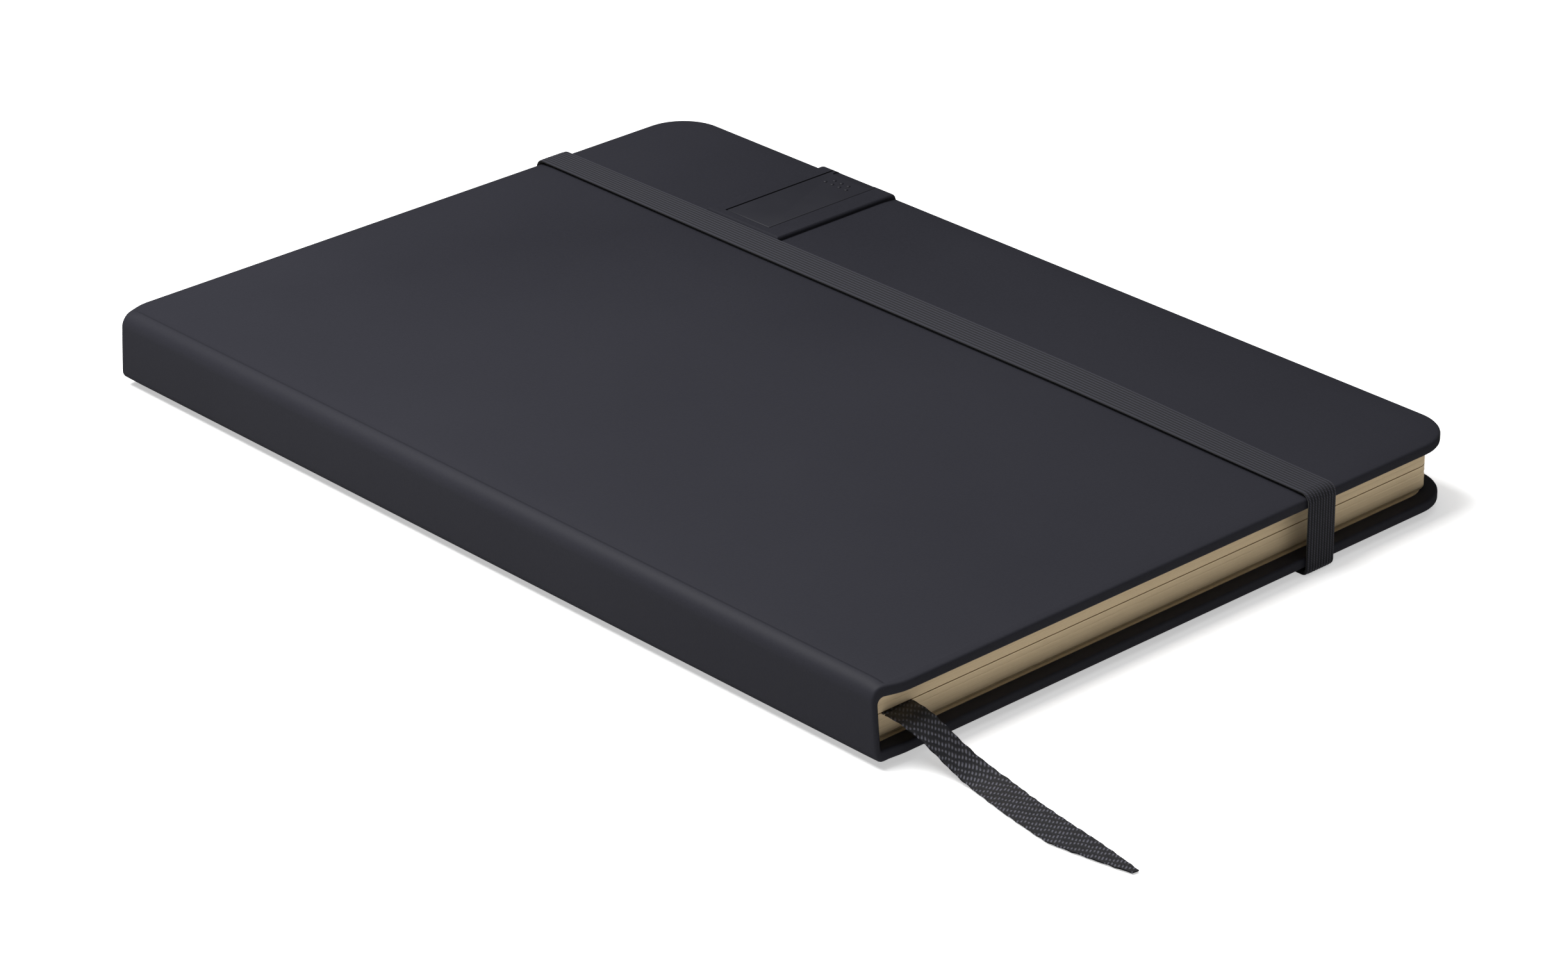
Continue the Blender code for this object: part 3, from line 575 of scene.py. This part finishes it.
# %% The back half of the case
BACK_INNER_RADIUS = 0.25 * MM
back_case_bm = half_case(back_low.z, back_high.z, SPINE_MIDDLE, BACK_FOLD_RADIUS, BACK_INNER_RADIUS)
back_case = make_piece("back_cover_wrap", back_case_bm, covering_finish)
band_low, band_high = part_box("strap_front")
slots = [block((band_low.x - 1.6 * MM, min(side * (HALF - 14.3 * MM), side * (HALF - 15.7 * MM)), -MM),
               (band_high.x + 1.2 * MM, max(side * (HALF - 14.3 * MM), side * (HALF - 15.7 * MM)),
                back_low.z + 1.5 * MM)) for side in (1, -1)]
carved(back_case, slots)
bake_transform(back_case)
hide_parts("back_cover_skin", "back_board")

# %% [markdown]
# ## Paper: endpapers and the text block
#
# The leaves are uncoated ivory paper. A cut edge of a stack shows hundreds of leaves as very fine
# level lines. The finish paints those lines from the height alone, lighter and darker in turn: partly
# the leaves' own tone, and partly painted shade where a leaf stands back. Because they come from the
# height alone, they run round the block, and the flat of a page shows only faint fibres.

# %% Ivory paper finish
def ivory(name, base, edge_contrast):
    """Uncoated ivory drawing paper: dull, warm, with fine level lines where it is a cut edge."""
    made, tree, shader = start_finish(name, Roughness=0.88, Specular_IOR_Level=0.2)
    place = add(tree, "ShaderNodeTexCoord").outputs["Object"]
    # A leaf is about 0.1 mm thick. The lines are drawn at 0.22 mm to show, and 500 times as long.
    flat = add(tree, "ShaderNodeMapping", {"Vector": place, "Scale": (0.002, 0.002, 1.0)})
    leaves = add(tree, "ShaderNodeTexNoise", {"Vector": flat.outputs[0], "Scale": per_mm(0.22),
                                              "Detail": 4.0, "Roughness": 0.7})
    fibres = add(tree, "ShaderNodeTexNoise", {"Vector": place, "Scale": per_mm(0.7), "Detail": 3.0})
    # Partly painted shade: some level lines are darker, as where a leaf stands back; the rest is the
    # leaves' own tone.
    lines = add(tree, "ShaderNodeMapRange", {0: leaves.outputs[0], 1: 0.32, 2: 0.62,
                                             3: 1.0 - edge_contrast, 4: 1.0 + 0.4 * edge_contrast})
    mottle = add(tree, "ShaderNodeMapRange", {0: fibres.outputs[0], 3: 0.97, 4: 1.03})
    tone = add(tree, "ShaderNodeMath", {0: lines.outputs[0], 1: mottle.outputs[0]}, operation="MULTIPLY")
    colour = add(tree, "ShaderNodeVectorMath", {0: linear(base)[:3], "Scale": tone.outputs[0]},
                 operation="SCALE")
    tree.links.new(colour.outputs[0], shader.inputs["Base Color"])
    bump = add(tree, "ShaderNodeBump", {"Height": leaves.outputs[0], "Strength": 0.3,
                                        "Distance": 0.04 * MM})
    tree.links.new(bump.outputs[0], shader.inputs["Normal"])
    return made


block_finish = ivory("ivory_drawing_paper", "#c3af8e", 0.08)
endpaper_finish = ivory("ivory_endpaper", "#cbb998", 0.03)
print("finishes:", block_finish.name, endpaper_finish.name)

# %% [markdown]
# ## Endpapers glued inside the covers
#
# Each cover has one leaf pasted inside it, set back from the rim so that the turned-in covering
# shows round it.

# %% Endpapers glued inside the covers
PAGE_CORNER = 3.5 * MM
PASTEDOWN_THICKNESS = 0.11 * MM


def leaf_stack(low, high, corner):
    """A block of leaves with round corners at the fore edge."""
    bm = block(low, high)
    round_edges(bm, upright_edges(bm, high[0]), corner, 8)
    return bm


PASTEDOWN_INSET = 3.2 * MM
for name, body, old, low_z, high_z in (
        ("front_pastedown_leaf", "front_cover", "front_pastedown", front_low.z - PASTEDOWN_THICKNESS,
         front_low.z),
        ("back_pastedown_leaf", "back_cover", "back_pastedown", back_high.z,
         back_high.z + PASTEDOWN_THICKNESS)):
    leaf = leaf_stack((SPINE + 3.2 * MM, -HALF + PASTEDOWN_INSET, low_z),
                      (FORE - PASTEDOWN_INSET, HALF - PASTEDOWN_INSET, high_z),
                      CORNER_RADIUS - PASTEDOWN_INSET)
    pasted = make_piece(name, leaf, endpaper_finish)
    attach(pasted, body)
    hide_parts(old)

# %% [markdown]
# ## The sections of the text block
#
# Each section is a stack whose leaves don't end at quite the same place, so four rings round it step
# in by up to six hundredths of a millimetre. The book opens above section 3, at the ribbon, and that
# gap stays open by a hair.

# %% The sections of the text block
random.seed(4)
sections = [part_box(f"section_{k}") for k in range(1, 7)]
OPENING_GAP = 0.07 * MM
for k, (low, high) in enumerate(sections, start=1):
    top = sections[k][0].z - 0.012 * MM if k not in (3, 6) else high.z
    top = high.z - OPENING_GAP if k == 3 else top
    bm = leaf_stack((low.x, low.y, low.z), (high.x, high.y, top), PAGE_CORNER)
    rings = [(0, 0, low.z + (top - low.z) * share) for share in (0.22, 0.45, 0.7, 0.88)]
    cut_across(bm, rings, (0, 0, 1))
    for ring in rings:
        step = 1 - random.uniform(0.0, 0.06) * MM / (70 * MM)
        for vert in bm.verts:
            if abs(vert.co.z - ring[2]) < MM / 1000:
                vert.co.x *= step
                vert.co.y *= step
    stack = make_piece(f"section_{k}_leaves", bm, block_finish, sharp_degrees=30)
    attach(stack, "back_cover" if k <= 3 else "opened_leaves")
    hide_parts(f"section_{k}")

# %% [markdown]
# ## The elastic closure
#
# The band is braided round ten rubber threads, which stand out as ten lengthwise ribs. It is tight:
# it lies flat on the front cover, turns down round the padded rim in a small radius and goes under
# the back cover, where its ends are glued in. The front run is one piece, the two side runs with
# their bends are others, because they shorten when the band is slipped off, and the ends are fixed.

# %% Braided elastic finish
RIBS = 10
RIB_PITCH = 0.74 * MM


def braided_elastic(name, dark, crest_highlight_colour):
    """Matt black braid over rubber: every rib is a cord of slanting threads, dull and slightly fuzzy, with
    painted highlights on the crests and painted shade between the ribs.
    """
    made, tree, shader = start_finish(name, Roughness=0.75, Specular_IOR_Level=0.25,
                                      Sheen_Weight=0.1, Sheen_Roughness=0.5)
    unrolled = add(tree, "ShaderNodeUVMap", uv_map="unrolled").outputs[0]
    # The threads cross each rib at a slant, one every 0.36 mm.
    slant = add(tree, "ShaderNodeMapping", {"Vector": unrolled, "Rotation": (0, 0, math.radians(38))})
    threads = add(tree, "ShaderNodeTexWave", {"Vector": slant.outputs[0], "Scale": wave_per_mm(0.36),
                                              "Distortion": 1.0, "Detail": 1.0, "Detail Scale": 2.0},
                  wave_type="BANDS", bands_direction="Y", wave_profile="SIN")
    ribs = add(tree, "ShaderNodeTexWave", {"Vector": unrolled, "Scale": wave_per_mm(RIB_PITCH / MM)},
               wave_type="BANDS", bands_direction="X", wave_profile="SIN")
    # Painted highlight and shade: the colour is pale on the crests of the threads and ribs and near black
    # between the ribs.
    thread_highlight_paint = add(tree, "ShaderNodeMapRange", {0: threads.outputs["Fac"], 3: 0.35, 4: 1.0})
    weave = add(tree, "ShaderNodeMath", {0: thread_highlight_paint.outputs[0], 1: ribs.outputs["Fac"]},
                operation="MULTIPLY")
    colour = add(tree, "ShaderNodeMix", {0: weave.outputs[0], 6: linear(dark),
                                         7: linear(crest_highlight_colour)}, data_type="RGBA")
    tree.links.new(colour.outputs[2], shader.inputs["Base Color"])
    bump = add(tree, "ShaderNodeBump", {"Height": threads.outputs["Fac"], "Strength": 0.35,
                                        "Distance": 0.05 * MM})
    tree.links.new(bump.outputs[0], shader.inputs["Normal"])
    return made


# 33333d is the painted highlight colour on the crests of the ribs.
elastic_finish = braided_elastic("black_braided_elastic", "#050509", "#33333d")
print("finish:", elastic_finish.name)

# %% [markdown]
# ## A length of band along its route
#
# The band is a grid whose columns rise and fall across its width as ribs, thickened towards its
# inner side. Its route is only a line in Y and Z, and one function says how wide the band is there
# and where its middle lies.

# %% Weave a length of band along its route
BAND_MIDDLE = (band_low.x + band_high.x) / 2
BAND_THICKNESS = 0.75 * MM
RIB_HEIGHT = 0.13 * MM


def band_place(y):
    """The middle and the width of the band: drawn narrow at the rims and pulled askew at the tail."""
    to_tail = eased((-0.035 - y) / 0.075)
    to_end = eased((abs(y) - 0.03) / 0.075)
    return BAND_MIDDLE + 0.6 * MM - 1.8 * MM * to_tail, 8.0 * MM - 0.9 * MM * to_end


def ribbed_band(route, start_length):
    """A band with lengthwise ribs on both faces; its route gives its middle line in Y and Z."""
    lengths = [start_length]
    for before, after in zip(route, route[1:]):
        lengths.append(lengths[-1] + (after - before).length)
    bm = bmesh.new()
    cells = RIBS * 4
    bmesh.ops.create_grid(bm, x_segments=cells, y_segments=len(route) - 1, size=0.5)
    uv = bm.loops.layers.uv.new("unrolled")
    for vert in bm.verts:
        k = round((vert.co.y + 0.5) * (len(route) - 1))
        share = vert.co.x
        ahead = (route[min(k + 1, len(route) - 1)] - route[max(k - 1, 0)]).normalized()
        outward = Vector((1, 0, 0)).cross(ahead)
        rib = abs(math.sin((share + 0.5) * RIBS * math.pi))
        for loop in vert.link_loops:
            loop[uv].uv = (share * RIBS * RIB_PITCH, lengths[k])
        lift = BAND_THICKNESS / 2 - RIB_HEIGHT + RIB_HEIGHT * rib ** 0.7
        lift -= 0.10 * MM * abs(2 * share) ** 8
        middle, width = band_place(route[k].y)
        vert.co = route[k] + Vector((middle + share * width, 0, 0)) + outward * lift
    bmesh.ops.recalc_face_normals(bm, faces=bm.faces)
    first = min(bm.faces, key=lambda f: abs(f.calc_center_median().y - route[0].y)
                + abs(f.calc_center_median().z - route[0].z))
    outward = Vector((1, 0, 0)).cross((route[1] - route[0]).normalized())
    if first.normal.dot(outward) < 0:
        bmesh.ops.reverse_faces(bm, faces=bm.faces)
    bmesh.ops.solidify(bm, geom=bm.faces[:], thickness=BAND_THICKNESS - RIB_HEIGHT)
    bmesh.ops.recalc_face_normals(bm, faces=bm.faces)
    return bm


def turn_points(centre, radius, start, end, steps):
    """Points in Y and Z on an arc, with the angles in degrees."""
    angles = [math.radians(start + (end - start) * k / steps) for k in range(steps + 1)]
    return [Vector((0, centre[0] + radius * math.cos(a), centre[1] + radius * math.sin(a)))
            for a in angles]


def straight_points(start, end, step):
    """Points along a line, without its last point."""
    count = max(1, round((end - start).length / step))
    return [start + (end - start) * k / count for k in range(count)]


print("band:", RIBS, "ribs,", round(BAND_THICKNESS / MM, 2), "mm thick")

# %% [markdown]
# ## The front run of the elastic
#
# It lies just clear of the front cover, from one bend to the other.

# %% The front run of the elastic
BEND = 1.65 * MM
OVER = front_high.z + 0.14 * MM + BAND_THICKNESS / 2
BESIDE = HALF + 0.08 * MM + BAND_THICKNESS / 2
UNDER = 0.03 * MM + BAND_THICKNESS / 2
LEG_END = back_low.z + 0.5 * MM
bend_start = BESIDE - BEND

front_run = straight_points(Vector((0, -bend_start, OVER)), Vector((0, bend_start, OVER)), 2.0 * MM)
front_run.append(Vector((0, bend_start, OVER)))
front_band = make_piece("elastic_front_run", ribbed_band(front_run, 0.0), elastic_finish, 60)
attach(front_band, "strap")
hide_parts("strap_front")

# %% [markdown]
# ## The side runs and the glued ends of the elastic
#
# At the head and the tail the band bends down, runs past the edges of the leaves, turns under the
# back cover and goes up into its slot. The tail's routes are those of the head, mirrored and turned
# round so that the ribs stay on the outside.

# %% The side runs and the glued ends
for end_name, side in (("head", 1), ("tail", -1)):
    bend = turn_points((bend_start, OVER - BEND), BEND, 90, 0, 10)
    leg = bend[:-1] + straight_points(bend[-1], Vector((0, BESIDE, LEG_END)), 1.2 * MM)
    leg.append(Vector((0, BESIDE, LEG_END)))
    lower_bend = 1.0 * MM
    tuck = turn_points((BESIDE - lower_bend, UNDER + lower_bend), lower_bend, 0, -90, 8)
    slot_y = HALF - 15.0 * MM
    run = straight_points(tuck[-1], Vector((0, slot_y + 0.5 * MM, UNDER)), 1.6 * MM)
    rise = turn_points((slot_y + 0.5 * MM, UNDER + 0.5 * MM), 0.5 * MM, -90, -180, 5)
    anchor = [Vector((0, BESIDE, LEG_END))] + tuck + run[1:] + rise
    anchor.append(Vector((0, slot_y, back_low.z + 1.3 * MM)))
    for part, route, old in (("side_run", leg, "side"), ("anchor", anchor, "anchor")):
        if side < 0:
            route = [Vector((0, -p.y, p.z)) for p in reversed(route)]
        bm = ribbed_band(route, 0.0)
        made = make_piece(f"elastic_{end_name}_{part}", bm, elastic_finish, 60)
        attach(made, "back_cover")
        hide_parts(f"strap_{end_name}_{old}")
        if part == "side_run":
            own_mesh(made)

# %% [markdown]
# ## The dock and the memory stick
#
# A pad stands one millimetre proud of the front cover, with a steep side and a softly rounded top
# edge, and its outer end rolls over the rim of the cover. The stick's cap fills the channel in the
# pad and is flush with it. It has a shallow scoop at its outer end for a fingernail, and seven low
# studs for grip.

# %% Moulded plastic for the cap
def cap_plastic():
    """Matt moulded plastic, near black: a fine spark texture that takes a broad, soft highlight."""
    made, tree, shader = start_finish("matt_moulded_plastic", Specular_IOR_Level=0.22)
    place = add(tree, "ShaderNodeTexCoord").outputs["Object"]
    grain = add(tree, "ShaderNodeTexNoise", {"Vector": place, "Scale": per_mm(0.3), "Detail": 2.0})
    wear = add(tree, "ShaderNodeTexNoise", {"Vector": place, "Scale": per_mm(9.0), "Detail": 2.0})
    colour = add(tree, "ShaderNodeMix", {0: wear.outputs[0], 6: linear("#1b1b21"), 7: linear("#202026")},
                 data_type="RGBA")
    tree.links.new(colour.outputs[2], shader.inputs["Base Color"])
    matt = add(tree, "ShaderNodeMapRange", {0: wear.outputs[0], 3: 0.46, 4: 0.58})
    tree.links.new(matt.outputs[0], shader.inputs["Roughness"])
    bump = add(tree, "ShaderNodeBump", {"Height": grain.outputs[0], "Strength": 0.25,
                                        "Distance": 0.02 * MM})
    tree.links.new(bump.outputs[0], shader.inputs["Normal"])
    return made


cap_finish = cap_plastic()
print("finish:", cap_finish.name)

# %% [markdown]
# ## The pad of the dock
#
# The pad is a block with a large round at the fore edge and a small one along its other top edges.
# A channel for the cap and a wider one below it for the tray are cut out of it.

# %% The pad of the dock
CHANNEL_GAP = 0.28 * MM
pad_bm = block((dock_low.x, dock_low.y, front_low.z + 1.45 * MM), (FORE, dock_high.y, dock_high.z))
top_rim = [e for e in pad_bm.edges if all(v.co.z > dock_high.z - MM / 10 for v in e.verts)]
fore_rim = [e for e in top_rim if all(v.co.x > FORE - MM / 10 for v in e.verts)]
round_edges(pad_bm, fore_rim, 1.5 * MM, 8)
top_rim = [e for e in pad_bm.edges if e.calc_face_angle(0.0) > math.radians(55)
           and max(v.co.z for v in e.verts) > dock_high.z - 1.6 * MM]
top_rim = [e for e in top_rim if min(v.co.z for v in e.verts) > front_low.z + 1.5 * MM]
round_edges(pad_bm, top_rim, 0.6 * MM, 5)
pad = make_piece("dock_pad", pad_bm, covering_finish)
channel_low = (stick_low.x - CHANNEL_GAP, stick_low.y - CHANNEL_GAP, 0)
channel_high = (FORE + 2 * MM, stick_high.y + CHANNEL_GAP, dock_high.z + MM)
tray_low = (stick_low.x - 0.97 * MM, stick_low.y - 0.94 * MM, 0)
tray_high = (FORE + 2 * MM, stick_high.y + 0.94 * MM, front_high.z - 0.05 * MM)
carved(pad, [block(channel_low, channel_high), block(tray_low, tray_high)])
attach(pad, "front_cover")
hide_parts("dock_frame")

# %% [markdown]
# ## The cap of the stick
#
# The cap is hollow from below, where the circuit board lies, and its scoop slopes down to the end.

# %% The cap of the stick
SCOOP_LENGTH = 2.8 * MM
SCOOP_DEPTH = 0.45 * MM
CAP_WALL = 0.5 * MM
cap_bm = block(stick_low, (stick_high.x, stick_high.y, dock_high.z))
cap_top = [e for e in cap_bm.edges if all(v.co.z > dock_high.z - MM / 10 for v in e.verts)]
cap_end = [e for e in cap_top if all(v.co.x > FORE - MM / 10 for v in e.verts)]
round_edges(cap_bm, cap_end, 1.5 * MM, 8)
cap_top = [e for e in cap_bm.edges if all(v.co.z > dock_high.z - MM / 10 for v in e.verts)
           and e.calc_face_angle(0.0) > math.radians(55)]
round_edges(cap_bm, cap_top, 0.22 * MM, 3)
cap = make_piece("stick_cap", cap_bm, cap_finish)
hollow = block(stick_low + Vector((CAP_WALL, CAP_WALL, -MM)),
               (stick_high.x - SCOOP_LENGTH - CAP_WALL, stick_high.y - CAP_WALL, dock_high.z - CAP_WALL))
scoop = block((stick_high.x - SCOOP_LENGTH, stick_low.y + 0.7 * MM, dock_high.z - 0.1 * MM),
              (stick_high.x + MM, stick_high.y - 0.9 * MM, dock_high.z + MM))
slope = SCOOP_DEPTH / SCOOP_LENGTH
for vert in scoop.verts:
    if vert.co.z < dock_high.z:
        vert.co.z -= slope * (vert.co.x - stick_high.x + SCOOP_LENGTH)
inner_corners = upright_edges(scoop, stick_high.x - SCOOP_LENGTH)
round_edges(scoop, inner_corners, 1.1 * MM, 6)
carved(cap, [hollow, scoop])
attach(cap, "memory_stick")
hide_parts("stick_upper_shell")

# %% [markdown]
# ## The grip studs
#
# The seven studs are flattened domes in two rows, four and three, set half a pitch apart.

# %% The grip studs
STUD_RADIUS = 0.44 * MM
STUD_RISE = 0.26 * MM
studs = bmesh.new()
stick_middle = (stick_low.y + stick_high.y) / 2
for x, count in ((stick_high.x - 6.4 * MM, 4), (stick_high.x - 4.8 * MM, 3)):
    for k in range(count):
        place = Matrix.Translation((x, stick_middle + (k - (count - 1) / 2) * 2.0 * MM, dock_high.z))
        dome = Matrix.Diagonal((STUD_RADIUS, STUD_RADIUS, STUD_RISE, 1.0))
        bmesh.ops.create_uvsphere(studs, u_segments=20, v_segments=12, radius=1.0, matrix=place @ dome)
grip = make_piece("grip_studs", studs, cap_finish, sharp_degrees=80)
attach(grip, "memory_stick")

# %% [markdown]
# ## Finishes for the pieces that stay as modelled
#
# Flyleaves, linings, the tray, and the stick's lower shell and inside keep the working model's
# shape and only get a finish: gauze, black ABS, green solder mask, black epoxy and gold plate.

# %% Finishes for the pieces that stay as modelled
def plain(name, colour, roughness, metallic=0.0, grain_mm=0.4, contrast=0.08):
    """An even finish with a fine grain, for pieces that are mostly hidden."""
    made, tree, shader = start_finish(name, Roughness=roughness, Metallic=metallic)
    place = add(tree, "ShaderNodeTexCoord").outputs["Object"]
    grain = add(tree, "ShaderNodeTexNoise", {"Vector": place, "Scale": per_mm(grain_mm), "Detail": 3.0})
    tone = add(tree, "ShaderNodeMapRange", {0: grain.outputs[0], 3: 1 - contrast, 4: 1 + contrast})
    tinted = add(tree, "ShaderNodeVectorMath", {0: linear(colour)[:3], "Scale": tone.outputs[0]},
                 operation="SCALE")
    tree.links.new(tinted.outputs[0], shader.inputs["Base Color"])
    return made


kept = {
    "front_flyleaf": endpaper_finish,
    "back_flyleaf": endpaper_finish,
    "spine_lining_lower": plain("gauze_spine_lining", "#dcd7cb", 0.9, grain_mm=0.5, contrast=0.2),
    "dock_tray": plain("black_abs_tray", "#1b1b1f", 0.5),
    "stick_lower_shell": cap_finish,
    "stick_circuit_board": plain("green_solder_mask", "#1f5a3a", 0.35, contrast=0.05),
    "stick_controller_chip": plain("black_epoxy_chip", "#151516", 0.45),
    "stick_contact_1": plain("gold_plated_contact", "#e0b45a", 0.25, metallic=1.0, contrast=0.03),
}
kept["spine_lining_upper"] = kept["spine_lining_lower"]
kept["stick_memory_chip"] = kept["stick_controller_chip"]
for k in (2, 3, 4):
    kept[f"stick_contact_{k}"] = kept["stick_contact_1"]
for name, finish in kept.items():
    for material_slot in frame["nodes"][name].material_slots:
        material_slot.material = finish
print("repainted:", ", ".join(kept))

# %% [markdown]
# ## Floor and light
#
# The book lies on white acrylic that glows a little, so the floor stays an even white and only a
# faint shadow shows. It is kept out of the mirror reflections. One large softbox hangs overhead. A
# smaller one hangs lower over the spine side, so the tone of the cover falls off towards the fore
# edge. The room itself gives only a faint fill, so that the tail and the fore edge stay dark.

# %% Floor, softboxes and room
def softbox(name, place, aim, width, height, power):
    """A rectangular area light that faces a point."""
    data = bpy.data.lights.new(name, "AREA")
    data.shape = "RECTANGLE"
    data.size = width
    data.size_y = height
    data.energy = power
    lamp = bpy.data.objects.new(name, data)
    lamp.location = place
    lamp.rotation_euler = (Vector(place) - Vector(aim)).to_track_quat("Z", "Y").to_euler()
    bpy.context.scene.collection.objects.link(lamp)
    return lamp


floor_bm = bmesh.new()
bmesh.ops.create_grid(floor_bm, x_segments=1, y_segments=1, size=6.0)
floor_mesh = bpy.data.meshes.new("white_sweep")
floor_bm.to_mesh(floor_mesh)
floor_bm.free()
white_sweep, _, _ = start_finish("backlit_white_acrylic", Base_Color=linear("#f4f4f4"), Roughness=0.9,
                                 Specular_IOR_Level=0.1, Emission_Color=linear("#ffffff"),
                                 Emission_Strength=0.50)
floor_mesh.materials.append(white_sweep)
floor = bpy.data.objects.new("white_sweep", floor_mesh)
bpy.context.scene.collection.objects.link(floor)
floor.visible_glossy = False

softbox("overhead_softbox", (0.0, 0.05, 0.95), (0, 0, 0), 1.6, 1.6, 4.5)
softbox("left_softbox", (-0.18, 0.12, 0.44), (-0.18, 0.05, 0), 0.30, 0.40, 4.6)
room = bpy.data.worlds.new("room")
room.use_nodes = True
room.node_tree.nodes["Background"].inputs[0].default_value = linear("#ffffff")
room.node_tree.nodes["Background"].inputs[1].default_value = 0.05
bpy.context.scene.world = room
bpy.context.scene.view_settings.view_transform = "Standard"
